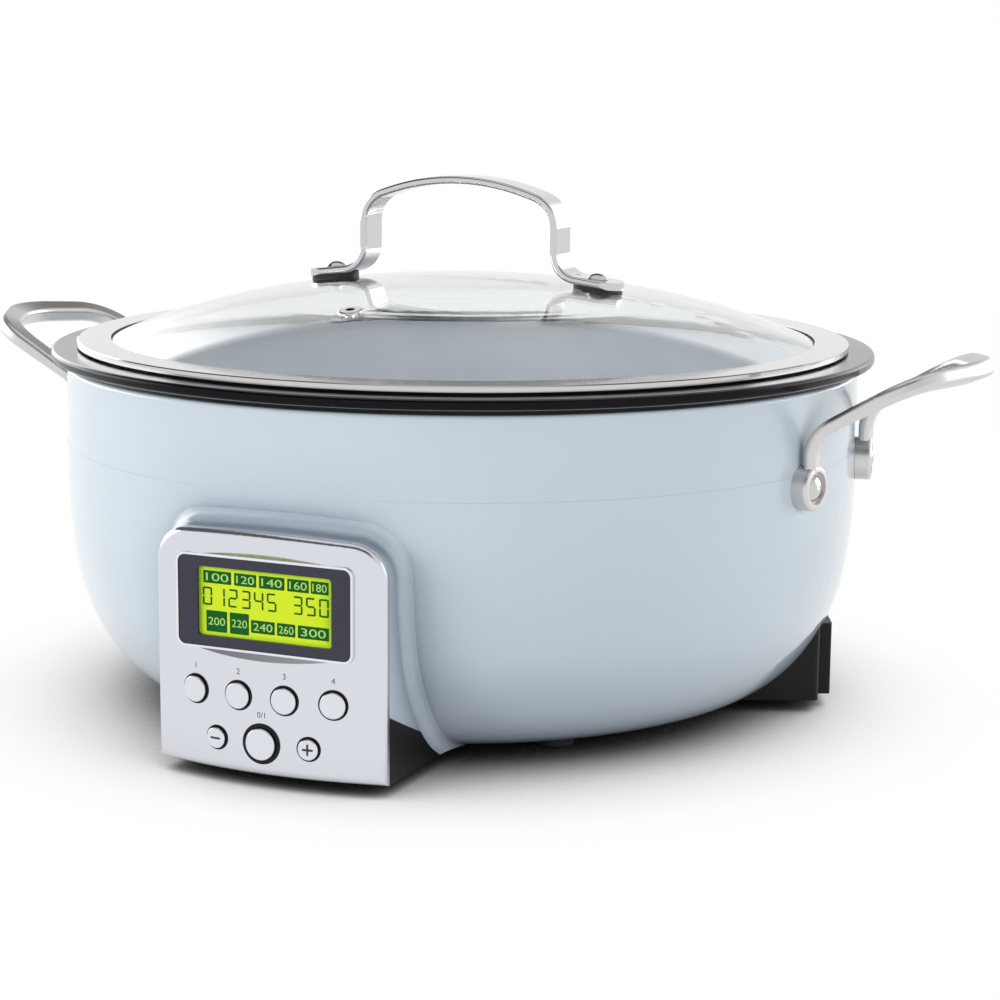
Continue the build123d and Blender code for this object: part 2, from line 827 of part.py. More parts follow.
def side_handle(side):
    """Cast loop handle with two round bosses against the bowl."""
    y = handle_half_gap
    corner_z = handle_rise_z + handle_run * math.tan(math.radians(handle_slope))
    tip_z = corner_z + handle_bow * math.tan(math.radians(handle_tip_slope))
    near = [(handle_leg_x, -y, boss_z), (handle_leg_x, -y, handle_rise_z), (handle_corner_x, -y, corner_z)]
    far = [(x, -near_y, z) for x, near_y, z in near[::-1]]
    places = near + [(handle_tip_x, 0, tip_z)] + far
    bends = [handle_bend_r, handle_corner_r, handle_end_r, handle_corner_r, handle_bend_r]
    path = Wire(FilletPolyline(*places, radius=bends).edges())
    sections = [handle_section(path, *shares) for shares in handle_taper_shares]
    loop = sweep(sections, path, multisection=True)
    for end in (-1, 1):
        boss = disc(boss_r, body_r / 2, boss_face_r)
        boss = fillet(boss.edges().group_by(Axis.Z)[-1], boss_edge_r)
        loop += rivet_axis(1, end) * boss
    loop -= bowl(-seat_gap)
    for end in (-1, 1):
        axis = rivet_axis(1, end)
        loop -= axis * disc(boss_recess_r, boss_face_r - boss_recess_depth, boss_face_r + boss_h)
        loop -= axis * disc(handle_rivet_r + seat_gap, body_r / 2, boss_face_r)
    return loop if side > 0 else mirror(loop, Plane.YZ)


def washer_face_r():
    """Distance from the axis at which a handle's flat washer clears the bowl's round inner wall."""
    return math.sqrt((body_r - shell_t - body_gap) ** 2 - handle_washer_r ** 2)


def handle_rivet(side, end):
    """Rivet through a handle's boss and the bowl, with a domed head in the recess."""
    seat = boss_face_r - boss_recess_depth
    inner = washer_face_r() - handle_washer_t
    rivet = disc(handle_rivet_r, inner, seat)
    rivet += dome(handle_rivet_head_r, handle_rivet_head_h, seat)
    rivet += disc(handle_rivet_head_r, inner - handle_washer_t, inner)
    return rivet_axis(side, end) * rivet


def handle_washer(side, end):
    """Washer between a rivet's inner head and the bowl."""
    face_r = washer_face_r()
    washer = tube(handle_washer_r, handle_rivet_r + seat_gap, face_r - handle_washer_t, face_r)
    return rivet_axis(side, end) * washer


def dome(radius, height, base_z):
    """Shallow round head, a slice of a sphere."""
    sphere_r = (radius * radius + height * height) / (2 * height)
    ball = Pos(0, 0, base_z + height - sphere_r) * Sphere(sphere_r)
    return ball & disc(radius, base_z, base_z + height)


def glass_z(r):
    """Height of the lid glass's upper surface at a distance from the axis."""
    return pan_top_z + glass_edge_h + glass_rise * (1 - (r / glass_r) ** glass_power)


def glass_lens(lift, radius, base_z):
    """Filled space under the lid glass's upper surface, moved up by the lift."""
    shares = [i / glass_steps for i in range(glass_steps + 1)]
    points = [(radius * s, 0, glass_z(radius * s) + lift) for s in shares]
    arch = Spline(*points)
    sides = Polyline(points[-1], (radius, 0, base_z), (0, 0, base_z), points[0])
    return revolve(Face(Wire(arch.edges() + sides.edges())), Axis.Z)


def lid_glass():
    """Domed glass of the lid, drilled for the handle and the vent."""
    glass = glass_lens(0, glass_r, pan_top_z)
    glass -= glass_lens(-glass_t, glass_r + overrun / 4, pan_top_z - overrun)
    for side in (-1, 1):
        glass -= lid_rivet_plane(side) * disc(lid_rivet_r + seat_gap, -overrun / 2, overrun / 2)
    return glass - vent_plane() * disc(vent_tube_r + seat_gap, -overrun / 2, overrun / 2)


def lid_ring():
    """Steel band round the glass, over the seal."""
    low_z = pan_top_z + lid_ring_low_gap
    edge_z = low_z + lid_ring_edge_h
    lift = seal_t + 2 * seat_gap
    return lathe(
        (lid_ring_in_r, glass_z(lid_ring_in_r) + lift),
        (lid_ring_in_r, edge_z + lid_ring_slope_h),
        (lid_ring_r - lid_ring_bevel, edge_z + lid_ring_bevel / 2),
        (lid_ring_r, edge_z),
        (lid_ring_r, low_z),
        (glass_r + seal_wall_t + seat_gap, low_z),
        (glass_r + seal_wall_t + seat_gap, glass_z(glass_r) + lift),
    )


def lid_seal():
    """Dark seal that grips the glass's edge and rests on the pan's flange."""
    lip_r = lid_ring_in_r - seal_t
    plug_r = pan_mouth_r - seal_plug_gap
    plug_in_r = glass_r - seal_lip_w
    glass_low_z = glass_z(glass_r) - glass_t
    seat_z = pan_top_z + lid_ring_low_gap
    return lathe(
        (lip_r, glass_z(lip_r) + seat_gap),
        (glass_r + seat_gap, glass_z(glass_r) + seat_gap),
        (glass_r + seat_gap, glass_low_z - seat_gap),
        (plug_in_r, glass_low_z - seat_gap),
        (plug_in_r, pan_top_z - seal_plug_h),
        (plug_r, pan_top_z - seal_plug_h),
        (plug_r, pan_top_z),
        (seal_seat_r, pan_top_z),
        (seal_seat_r, seat_z),
        (glass_r + seal_wall_t, seat_z),
        (glass_r + seal_wall_t, glass_z(glass_r) + seal_t),
        (lip_r, glass_z(lip_r) + seal_t),
    )


def glass_plane(x, y):
    """Frame on the glass's upper surface, with its z axis square to the glass."""
    r = math.hypot(x, y)
    fall = glass_rise * glass_power / glass_r * (r / glass_r) ** (glass_power - 1)
    return Plane((x, y, glass_z(r)), x_dir=(-y / r, x / r, 0), z_dir=(fall * x / r, fall * y / r, 1))


def lid_rivet_plane(side):
    """Frame of a lid handle's rivet on the glass."""
    return glass_plane(side * lid_handle_rivet_x, 0)


def vent_plane():
    """Frame of the steam vent on the glass."""
    turn = math.radians(vent_angle)
    return glass_plane(vent_track_r * math.cos(turn), vent_track_r * math.sin(turn))


def steam_vent():
    """Metal eyelet through the glass."""
    low_z = -glass_t
    eyelet = tube(vent_tube_r, vent_bore_r, low_z - vent_flange_h, vent_flange_h)
    upper = tube(vent_flange_r, vent_bore_r, seat_gap, vent_flange_h)
    eyelet += fillet(upper.edges().group_by(Axis.Z)[-1].sort_by(SortBy.RADIUS)[-1], edge_r)
    lower_high = low_z - 2 * seat_gap
    eyelet += tube(vent_flange_r - edge_r, vent_bore_r, lower_high - vent_flange_h + edge_r, lower_high)
    return vent_plane() * eyelet


def lid_foot_z(x):
    """Height of the lid handle's centre line along its foot."""
    fall = math.tan(math.radians(lid_handle_foot_slope))
    middle_z = glass_z(lid_handle_rivet_x) + lid_pad_t + lid_handle_t / 2
    return middle_z + (lid_handle_rivet_x - x) * fall


def lid_handle():
    """Bent steel strap with rounded feet."""
    half = [
        (lid_handle_foot_x, 0, lid_foot_z(lid_handle_foot_x)),
        (lid_handle_leg_x, 0, lid_foot_z(lid_handle_leg_x)),
        (lid_handle_leg_x, 0, lid_handle_shoulder_z),
    ]
    left = [(-x, y, z) for x, y, z in half]
    places = left + [(0, 0, lid_handle_peak_z)] + half[::-1]
    bends = [lid_handle_foot_r, lid_handle_shoulder_r, lid_handle_arch_r]
    path = FilletPolyline(*places, radius=bends + bends[1::-1])
    section = Plane(places[0], x_dir=(0, 1, 0), z_dir=path % 0)
    strap = sweep(section * RectangleRounded(lid_handle_w, lid_handle_t, lid_handle_edge_r), path)
    plan = extrude(SlotOverall(2 * lid_handle_foot_x, lid_handle_w), lid_handle_peak_z)
    strap &= plan
    for side in (-1, 1):
        strap -= lid_rivet_plane(side) * disc(lid_rivet_r + seat_gap, -overrun / 4, overrun / 4)
        top_z = lid_foot_z(dimple_x) + lid_handle_t / 2
        strap -= Pos(side * dimple_x, 0, top_z + dimple_r - dimple_depth) * Sphere(dimple_r)
    return strap


def lid_pad(side):
    """Dark pad between a foot of the lid handle and the glass."""
    pad = extrude(SlotOverall(lid_pad_length, lid_pad_w), lid_pad_t + overrun / 4)
    centre_x = lid_handle_foot_x - lid_pad_length / 2 - edge_r
    pad = Pos(side * centre_x, 0, lid_foot_z(lid_handle_foot_x) - overrun / 8) * pad
    fall = Rot(0, side * lid_handle_foot_slope, 0)
    low_face = lid_foot_z(lid_handle_rivet_x) - lid_handle_t / 2 - seat_gap
    above = fall * block((-overrun, -overrun, 0), (overrun, overrun, overrun))
    pad -= Pos(side * lid_handle_rivet_x, 0, low_face) * above
    pad -= glass_lens(seat_gap, glass_r, pan_top_z)
    return pad - lid_rivet_plane(side) * disc(lid_rivet_r + seat_gap, -overrun / 4, overrun / 4)


def lid_rivet(side):
    """Rivet through the lid handle's foot, the pad and the glass."""
    head_z = lid_pad_t + lid_handle_t + seat_gap
    low_z = -(glass_t + seat_gap + lid_washer_t)
    rivet = disc(lid_rivet_r, low_z, head_z) + dome(lid_rivet_head_r, lid_rivet_head_h, head_z)
    rivet += disc(lid_rivet_head_r, low_z - lid_washer_t, low_z)
    return lid_rivet_plane(side) * rivet


def lid_washer(side):
    """Washer under the glass at a rivet."""
    high_z = -(glass_t + 2 * seat_gap)
    washer = tube(lid_washer_r, lid_rivet_r + seat_gap, high_z - lid_washer_t + seat_gap, high_z)
    return lid_rivet_plane(side) * washer


def wrap_bracket(side):
    """Bracket under the bowl's edge that the cord winds round."""
    low = (body_r / 2, -bracket_half_w, foot_h)
    body = block(low, (bracket_reach, bracket_half_w, foot_h + bracket_h))
    body = fillet(body.edges().filter_by(Axis.Z).group_by(Axis.X)[-1], bracket_edge_r)
    return at_bracket(side, body) - bowl(-seat_gap)


def wrap_plate(side):
    """Outer lip of the bracket that keeps the cord on it."""
    low = (bracket_reach, -wrap_half_w, foot_h + wrap_lift)
    body = block(low, (bracket_reach + wrap_t, wrap_half_w, foot_h + bracket_h))
    body = fillet(body.edges().filter_by(Axis.Z).group_by(Axis.X)[-1], wrap_edge_r)
    return at_bracket(side, body) - bowl(-seat_gap)


def at_bracket(side, shape):
    """Turns a shape drawn along +X to its bracket's place."""
    turned = Rot(0, 0, bracket_angle) * shape
    return turned if side > 0 else mirror(turned, Plane.YZ)


def entry_block(inset, reach):
    """Block of the cord entry at the back, drawn in by the inset."""
    height = entry_h - 2 * inset
    outline = Rectangle(2 * (entry_half_w - inset), height)
    outline = fillet(outline.vertices().group_by(Axis.Y)[-1], entry_corner_r - inset)
    placed = Plane.XZ * Pos(0, foot_h + entry_h / 2) * outline
    round_end = disc(reach, foot_h - overrun, foot_h + entry_h + overrun)
    return extrude(placed, -(pod_r + overrun)) & round_end


def entry_housing():
    """Dark housing behind the bowl where the cord goes in."""
    part = entry_block(0, entry_r)
    part = fillet(edges_on_round(part, entry_r), entry_edge_r)
    part -= entry_block(entry_wall_t, entry_r - entry_wall_t)
    part -= bowl(-seat_gap)
    return part - Pos(0, 0, gland_z) * Rot(-90, 0, 0) * disc(gland_r + seat_gap, 0, entry_r + overrun)


def cord_gland():
    """Flexible bush in the cord entry, with a bore for the cord."""
    inner_y = entry_r - entry_wall_t
    flange_z = inner_y - entry_wall_t / 4
    bush = tube(gland_r, gland_bore_r, entry_r - gland_length, entry_r - 2 * seat_gap)
    bush += tube(gland_flange_r, gland_bore_r, flange_z - gland_flange_t, flange_z)
    return Pos(0, 0, gland_z) * Rot(-90, 0, 0) * bush


def build():
    """All pieces by name."""
    sides = {"left": -1, "right": 1}
    corners = [(side, end) for side in (-1, 1) for end in (-1, 1)]
    pieces = {
        "housing_shell": housing_shell(),
        "control_fascia": control_fascia(),
        "pod_base": pod_base(),
        "button_collars": group([button_collar(name) for name in pitch_shares]),
        "control_board": control_board(),
        "board_screws": group([board_screw(x, z) for x, z in board_corners()]),
        "key_switches": group([key_switch(name) for name in pitch_shares]),
        "controller_chip": controller_chip(),
        "pan": pan(),
        "inner_well": inner_well(),
        "heating_plate": heating_plate(),
        "heating_element": heating_element(),
        "heater_posts": group(around(heater_post(), heater_post_count)),
        "temperature_sensor": temperature_sensor(),
        "sensor_clip": sensor_clip(),
        "sensor_spring": sensor_spring(),
        "thermal_fuse": thermal_fuse(),
        "base_plate": base_plate(),
        "rubber_feet": group(around(rubber_foot(), rubber_count, rubber_turn)),
        "housing_columns": group(around(column(), column_count)),
        "base_screws": group(around(base_screw(), column_count)),
        "handle_rivets": group([handle_rivet(*corner) for corner in corners]),
        "handle_washers": group([handle_washer(*corner) for corner in corners]),
        "lid_glass": lid_glass(),
        "lid_ring": lid_ring(),
        "lid_seal": lid_seal(),
        "lid_handle": lid_handle(),
        "lid_handle_pads": group([lid_pad(side) for side in sides.values()]),
        "lid_handle_rivets": group([lid_rivet(side) for side in sides.values()]),
        "lid_handle_washers": group([lid_washer(side) for side in sides.values()]),
        "steam_vent": steam_vent(),
        "cord_entry_housing": entry_housing(),
        "cord_gland": cord_gland(),
    }
    pieces.update(display_pieces())
    pieces.update(power_pieces())
    for word, side in sides.items():
        pieces["side_handle_" + word] = side_handle(side)
        pieces["cord_wrap_bracket_" + word] = wrap_bracket(side)
        pieces["cord_wrap_plate_" + word] = wrap_plate(side)
    for name in pitch_shares:
        pieces[name] = button(name)
    return pieces


def heater_post():
    """Post between the well's floor and the heating plate."""
    low_z = well_floor_z + well_t
    return Pos(heater_post_track_r) * disc(heater_post_r, low_z, heater_top_z - heater_t)


for node, shape in build().items():
    export_step(shape, os.path.join("parts", node + ".step"))
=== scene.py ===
import json
import math

import bmesh
import bpy
from mathutils import Matrix, Vector


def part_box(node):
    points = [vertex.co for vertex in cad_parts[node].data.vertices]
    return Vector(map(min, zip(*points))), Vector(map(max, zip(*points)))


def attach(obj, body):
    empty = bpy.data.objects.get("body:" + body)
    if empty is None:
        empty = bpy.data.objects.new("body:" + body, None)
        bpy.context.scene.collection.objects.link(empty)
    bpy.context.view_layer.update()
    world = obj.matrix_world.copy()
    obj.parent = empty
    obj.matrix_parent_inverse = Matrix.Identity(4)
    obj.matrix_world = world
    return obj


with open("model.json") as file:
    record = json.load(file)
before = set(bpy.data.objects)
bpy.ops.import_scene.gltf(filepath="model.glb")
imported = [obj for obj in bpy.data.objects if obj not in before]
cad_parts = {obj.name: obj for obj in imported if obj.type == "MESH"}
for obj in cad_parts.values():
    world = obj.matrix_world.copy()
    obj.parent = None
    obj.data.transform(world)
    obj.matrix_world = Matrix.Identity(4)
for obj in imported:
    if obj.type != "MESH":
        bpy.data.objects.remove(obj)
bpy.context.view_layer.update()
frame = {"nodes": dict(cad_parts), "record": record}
mm = 0.001

# Camera, solved from the photograph
camera_place = (0.45533, -1.00815, 0.28817)
camera_azimuth = 23.7
camera_elevation = 10.45
camera_roll = 0.48
camera_lens = 89.2
camera_shift = (0.01185, 0.0)
camera_sensor = 36
camera_near = 0.01

# Floor: its tint for the light, and the shadow painted in from occlusion near the object
floor_half = 6.0
floor_tint = (0.12, 0.15, 0.21, 1.0)
painted_shadow_reach = 0.13
painted_shadow_range = (0.05, 0.82)
painted_shadow_samples = 12

# Lamps: place, size and power
key_place, key_size, key_light = (-1.75, -1.95, 0.5), 1.5, 52.0
fill_place, fill_size, fill_light = (2.2, -1.2, 0.5), 1.5, 36.0
lamp_target = (0, 0, 0.1)

# World: walls up to a slope, brighter panels at the far sides, and what gloss sees overhead
wall_turn = camera_azimuth
wall_slope = 0.5
wall_edge = 0.05
ceiling_light = 0.1
top_slope = (1.5, 1.9)
top_light = 0.85
panel_light = 3.1
panel_ahead = (-0.05, 0.15)
left_panel = (0.15, 0.4)
right_panel = (0.4, 0.7)
open_side = (0.3, 0.45)
least_reach = 0.01

# Places read from the frame
screen_low, screen_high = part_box("lcd_panel")
pod_r = -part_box("control_fascia")[0][1]
screen_y = screen_low[1]
screen_z = (screen_low[2] + screen_high[2]) / 2

# Pan and well: the light coating ends at the pan's mouth, painted shade makes the well black below its
# flange
coating_r = 160.2 * mm
coating_edge = 0.2 * mm
coating_facing = (0.15, 0.25)
# Charcoal by the normal's upright part: painted reflection on level faces, painted shade on upright ones
painted_light_facing = (0.6, 0.9)
well_painted_shade_low = 147.0 * mm

# Enamel: shade painted into the colour in the corners round the hood, from occlusion
painted_shade_reach = 34 * mm
painted_shade_range = (0.62, 0.98)
painted_shade_samples = 8

# Enamel: band round the bowl's widest place, where the shading is evened out over a very fine kink
seam_z = 117 * mm
seam_reach = (12 * mm, 6 * mm)
seam_r = (174.6 * mm, 175.2 * mm)

# Screen: half its width and height, and where its deeper edge starts
screen_half = (30 * mm, 14 * mm)
screen_edge = (0.8, 1.0)

# Screen print, in millimetres from the middle of the screen but for its thickness
print_t = 0.05 * mm
block_upper = [(-27.5, -15.0), (-13.7, -3.9), (-2.7, 8.5), (9.7, 19.1), (19.9, 27.6)]
block_upper_z = (7.0, 12.0)
block_tall = [(-26.3, -17.0), (-15.8, -7.3)]
block_tall_z = (-12.4, -3.9)
block_lower = [(-6.4, 4.1), (5.1, 13.1), (14.2, 27.7)]
block_lower_z = (-11.1, -6.0)
block_round = 0.3
block_numbers = ["100", "120", "140", "160", "180", "200", "220", "240", "260", "300"]
number_width_share = 0.8
number_height_share = 0.62
digit_left = -27.8
digit_pitch = 5.7
digit_w = 4.2
digit_z = (-1.9, 5.4)
digit_stroke = 0.75
digit_gap = 0.22
digits_shown = "012345 350"
segments_of = {"0": "abcdef", "1": "bc", "2": "abged", "3": "abgcd", "4": "fgbc", "5": "afgcd"}

# Numbers printed over the buttons, in millimetres: height, thickness and rise over the button's middle
label_h = 2.3
label_t = 0.03
label_rise = 9.6
start_label_rise = 11.6
labels = {
    "button_preset": "1", "button_menu": "2", "button_time": "3", "button_temperature": "4",
    "button_start": "0/1",
}

# Dark inlays of the plus and minus signs, in millimetres, and the groove that they lie in
sign_length = 4.4
sign_stroke = 0.8
sign_sunk = 0.12
sign_depth = 0.3
button_proud = 1.5

# Inputs and output of a mix node for each kind of value
mix_sockets = {"VECTOR": (4, 5, 1), "RGBA": (6, 7, 2)}


def linear(red, green, blue):
    """Linear colour of an sRGB colour given in parts of 255."""
    def channel(value):
        share = value / 255
        return share / 12.92 if share <= 0.04045 else ((share + 0.055) / 1.055) ** 2.4
    return (channel(red), channel(green), channel(blue), 1.0)


class Nodes:
    """Node tree of a material or world, with short calls for the nodes used here."""

    def __init__(self, tree):
        self.nodes = tree.nodes
        self.links = tree.links

    def add(self, kind, **inputs):
        """Node of a kind, with values or links for its named inputs."""
        made = self.nodes.new("ShaderNode" + kind)
        for name, value in inputs.items():
            self.set(made, name, value)
        return made

    def set(self, node, name, value):
        """Sets or links one input of a node."""
        socket = node.inputs[name]
        if isinstance(value, bpy.types.NodeSocket):
            self.links.new(value, socket)
        else:
            socket.default_value = value

    def math(self, operation, *values):
        """Result of a math node."""
        made = self.nodes.new("ShaderNodeMath")
        made.operation = operation
        for index, value in enumerate(values):
            self.set(made, index, value)
        return made.outputs[0]

    def vector(self, operation, *values):
        """Value of a vector math node."""
        made = self.nodes.new("ShaderNodeVectorMath")
        made.operation = operation
        for index, value in enumerate(values):
            self.set(made, index, value)
        return made.outputs["Value" if operation in ("DOT_PRODUCT", "LENGTH") else "Vector"]

    def place(self):
        """Place on the object, in metres."""
        return self.add("TexCoord").outputs["Object"]

    def parts(self, source):
        """X, Y and Z of a vector."""
        return self.add("SeparateXYZ", Vector=source).outputs

    def radius(self):
        """Distance from the object's upright axis."""
        return self.vector("LENGTH", self.vector("MULTIPLY", self.place(), (1, 1, 0)))

    def outward(self, sign=1):
        """Level direction away from the object's upright axis, or towards it with a sign of -1."""
        return self.vector("NORMALIZE", self.vector("MULTIPLY", self.place(), (sign, sign, 0)))

    def noise(self, scale, detail=2.0, stretch=(1, 1, 1)):
        """Noise over the object's own coordinates."""
        source = self.vector("MULTIPLY", self.place(), stretch)
        return self.add("TexNoise", Vector=source, Scale=scale, Detail=detail).outputs["Fac"]

    def step(self, value, low, high):
        """Smooth step from 0 to 1 between two values."""
        made = self.add("MapRange", Value=value)
        made.interpolation_type = "SMOOTHSTEP"
        self.set(made, "From Min", low)
        self.set(made, "From Max", high)
        return made.outputs["Result"]

    def ramp(self, source, low, high, from_value=0.3, to_value=0.7):
        """Value or colour that runs between two others."""
        made = self.add("ValToRGB", Fac=source)
        for element, place, colour in zip(made.color_ramp.elements, (from_value, to_value), (low, high)):
            element.position = place
            element.color = colour if hasattr(colour, "__len__") else (colour, colour, colour, 1.0)
        return made.outputs["Color"]

    def blend(self, share, first, second, kind="RGBA"):
        """Mix of two colours or two vectors."""
        made = self.nodes.new("ShaderNodeMix")
        made.data_type = kind
        first_input, second_input, output = mix_sockets[kind]
        self.set(made, 0, share)
        self.set(made, first_input, first)
        self.set(made, second_input, second)
        return made.outputs[output]

    def mix(self, share, first, second):
        """Mix of two shaders."""
        made = self.add("MixShader", Fac=share)
        self.set(made, 1, first)
        self.set(made, 2, second)
        return made.outputs["Shader"]

    def bump(self, source, strength, distance, **normal):
        """Normal with fine relief from a value, over a Normal if one is given."""
        made = self.add("Bump", Height=source, Strength=strength, Distance=distance * mm, **normal)
        return made.outputs["Normal"]

    def normal(self):
        """Normal of the surface."""
        return self.add("NewGeometry").outputs["Normal"]


def new_material(name):
    """Empty node material and its surface shader."""
    made = bpy.data.materials.new(name)
    made.use_nodes = True
    return made, Nodes(made.node_tree), made.node_tree.nodes["Principled BSDF"]


def shaded(colour, change):
    """Colour made lighter or darker by a share."""
    return [min(1.0, part * (1 + change)) for part in colour[:3]] + [1.0]


def surface(name, colour, metallic=0.0, roughness=(0.4, 0.5), spread=0.04, scale=900.0,
            stretch=(1, 1, 1), relief=None, coat=0.0, coat_roughness=0.04, specular=0.5):
    """Node material with slight variation of colour and gloss, and a fine relief."""
    made, tree, shader = new_material(name)
    value = tree.noise(scale, 3.0, stretch)
    tree.set(shader, "Base Color", tree.ramp(value, shaded(colour, -spread), shaded(colour, spread)))
    tree.set(shader, "Roughness", tree.ramp(value, *roughness))
    shader.inputs["Metallic"].default_value = metallic
    shader.inputs["Coat Weight"].default_value = coat
    shader.inputs["Coat Roughness"].default_value = coat_roughness
    shader.inputs["Specular IOR Level"].default_value = specular
    if relief:
        tree.set(shader, "Normal", tree.bump(value, *relief))
    return made


def enamel():
    """Pale blue enamel: even colour with painted shade in the corners, glossy with a very faint orange
    peel.
    """
    made, tree, shader = new_material("blue_enamel")
    colour = linear(200, 212, 220)
    shade = linear(44, 68, 98)
    slow = tree.noise(9.0, 1.0)
    peel = tree.noise(70.0, 1.0)
    painted_shade_occlusion = tree.add("AmbientOcclusion", Distance=painted_shade_reach)
    painted_shade_occlusion.samples = painted_shade_samples
    painted_shade_occlusion.only_local = True
    # Painted shade: the base colour turns to a dark blue where the enamel's own occlusion is high
    lit = tree.step(painted_shade_occlusion.outputs["AO"], *painted_shade_range)
    even = tree.ramp(slow, shaded(colour, -0.012), shaded(colour, 0.012))
    tree.set(shader, "Base Color", tree.blend(lit, shade, even))
    tree.set(shader, "Roughness", tree.ramp(slow, 0.26, 0.32))
    level = tree.math("SUBTRACT", tree.parts(tree.place())[2], seam_z)
    near_seam = tree.step(tree.math("ABSOLUTE", level), *seam_reach)
    seam = tree.math("MULTIPLY", near_seam, tree.step(tree.radius(), *seam_r))
    even_normal = tree.vector("NORMALIZE", tree.blend(seam, tree.normal(), tree.outward(), "VECTOR"))
    tree.set(shader, "Normal", tree.bump(peel, 0.05, 0.1, Normal=even_normal))
    tree.set(shader, "Coat Normal", even_normal)
    shader.inputs["Coat Weight"].default_value = 1.0
    shader.inputs["Coat Roughness"].default_value = 0.02
    return made


def satin_metal(name, colour, roughness, scale=700.0, spread=0.02, stretch=(1, 1, 1), metallic=1.0):
    """Metal, polished or satin, with a fine grain and faint wipe marks."""
    made, tree, shader = new_material(name)
    grain = tree.noise(scale, 2.0, stretch)
    wipe = tree.noise(22.0, 3.0)
    tree.set(shader, "Base Color", tree.ramp(grain, shaded(colour, -spread), shaded(colour, spread)))
    gloss = tree.math("ADD", tree.math("MULTIPLY", wipe, roughness * 0.5), roughness * 0.75)
    tree.set(shader, "Roughness", gloss)
    shader.inputs["Metallic"].default_value = metallic
    return made


def pan_coating():
    """Charcoal metallic outside and flange with painted reflection and shade, light grey ceramic coating
    inside.
    """
    made, tree, shader = new_material("pan_coating")
    flake = tree.noise(2600.0, 2.0)
    drift = tree.noise(18.0, 2.0)
    # Painted light: a darker charcoal for upright faces and a lighter one for level faces, chosen by the
    # normal
    band = tree.ramp(flake, linear(12, 11, 14), linear(24, 23, 28), 0.35, 0.65)
    top = tree.ramp(flake, linear(84, 82, 89), linear(104, 102, 110), 0.35, 0.65)
    ceramic = tree.ramp(drift, linear(216, 220, 227), linear(226, 229, 235))
    normal = tree.normal()
    inward = tree.vector("DOT_PRODUCT", normal, tree.outward(-1))
    facing = tree.step(tree.math("MAXIMUM", inward, tree.parts(normal)[2]), *coating_facing)
    within = tree.step(tree.radius(), coating_r, coating_r - coating_edge)
    inside = tree.math("MULTIPLY", facing, within)
    level = tree.step(tree.math("ABSOLUTE", tree.parts(normal)[2]), *painted_light_facing)
    painted_light_charcoal = tree.blend(level, band, top)
    tree.set(shader, "Base Color", tree.blend(inside, painted_light_charcoal, ceramic))
    tree.set(shader, "Metallic", tree.math("SUBTRACT", 1.0, inside))
    tree.set(shader, "Roughness", tree.math("ADD", tree.math("MULTIPLY", drift, 0.08), 0.2))
    shader.inputs["Coat Weight"].default_value = 0.15
    shader.inputs["Coat Roughness"].default_value = 0.12
    return made


def well_metal():
    """Bare aluminium well, turned black by painted shade from just below its flange."""
    made, tree, shader = new_material("well_metal")
    grain = tree.noise(300.0, 3.0, (1, 1, 6))
    bare = tree.ramp(grain, linear(178, 178, 180), linear(194, 194, 195))
    # Painted shade: black and not metallic from just below the well's flange upward
    painted_shade_band = tree.step(tree.parts(tree.place())[2], well_painted_shade_low, well_painted_shade_low + mm)
    tree.set(shader, "Base Color", tree.blend(painted_shade_band, bare, linear(9, 9, 10)))
    shader.inputs["Specular IOR Level"].default_value = 0.25
    tree.set(shader, "Metallic", tree.math("SUBTRACT", 1.0, painted_shade_band))
    tree.set(shader, "Roughness", tree.ramp(grain, 0.3, 0.42))
    return made


def screen_face():
    """Lit yellow-green screen, a little deeper towards its edge."""
    made, tree, shader = new_material("screen_face")
    x, y, z = tree.parts(tree.place())
    across = tree.math("MULTIPLY", x, 1 / screen_half[0])
    up = tree.math("MULTIPLY", tree.math("SUBTRACT", z, screen_z), 1 / screen_half[1])
    reach = tree.math("MAXIMUM", tree.math("ABSOLUTE", across), tree.math("ABSOLUTE", up))
    edge = tree.step(reach, *screen_edge)
    centre = tree.ramp(tree.noise(60.0, 1.0), linear(196, 220, 18), linear(206, 222, 24))
    colour = tree.blend(edge, centre, linear(160, 200, 18))
    tree.set(shader, "Base Color", colour)
    tree.set(shader, "Emission Color", colour)
    shader.inputs["Emission Strength"].default_value = 0.12
    tree.set(shader, "Roughness", tree.ramp(tree.noise(400.0), 0.3, 0.36))
    return made


def clear_glass():
    """Clear tempered glass that lets the lamps through."""
    made, tree, shader = new_material("clear_glass")
    smear = tree.noise(30.0, 2.0)
    tree.set(shader, "Base Color", tree.ramp(smear, (0.955, 0.975, 0.975, 1), (0.965, 0.98, 0.98, 1)))
    shader.inputs["Transmission Weight"].default_value = 1.0
    shader.inputs["Roughness"].default_value = 0.0
    shader.inputs["IOR"].default_value = 1.5
    through = tree.add("BsdfTransparent", Color=(0.9, 0.92, 0.92, 1))
    shadow = tree.add("LightPath").outputs["Is Shadow Ray"]
    mixed = tree.mix(shadow, shader.outputs["BSDF"], through.outputs["BSDF"])
    tree.links.new(mixed, tree.nodes["Material Output"].inputs["Surface"])
    return made


